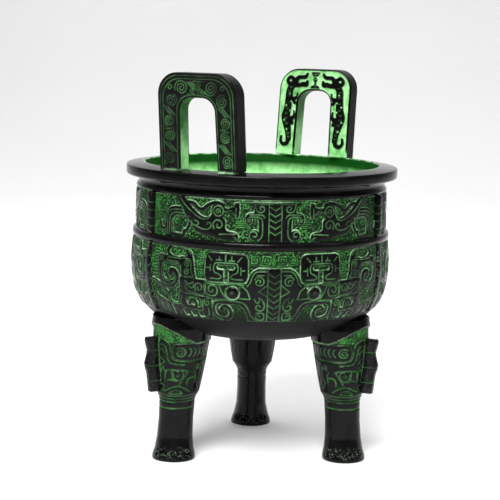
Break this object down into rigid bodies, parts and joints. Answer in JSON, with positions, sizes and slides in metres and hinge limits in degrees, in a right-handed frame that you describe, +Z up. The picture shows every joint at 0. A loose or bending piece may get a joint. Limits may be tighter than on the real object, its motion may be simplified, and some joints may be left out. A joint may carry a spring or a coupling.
{
  "type": "round tripod food vessel",
  "caption": "Round cast vessel on legs with masks, with a flat rim, upright loop handles and raised mask and bird bands; dark patina with green in the recesses.",
  "frame": {"origin": "on the floor, at the centre of the circle through the middles of the feet", "axes": "+Z up out of the mouth, X through both handles, one leg along -Y and the others at 30 and 150 degrees from +X"},
  "size_m": [0.1704, 0.17, 0.2396],
  "materials": {
    "aged_bronze": "satin"
  },
  "bodies": {
    "root": {"ding_vessel": "aged_bronze"}
  },
  "joints": []
}
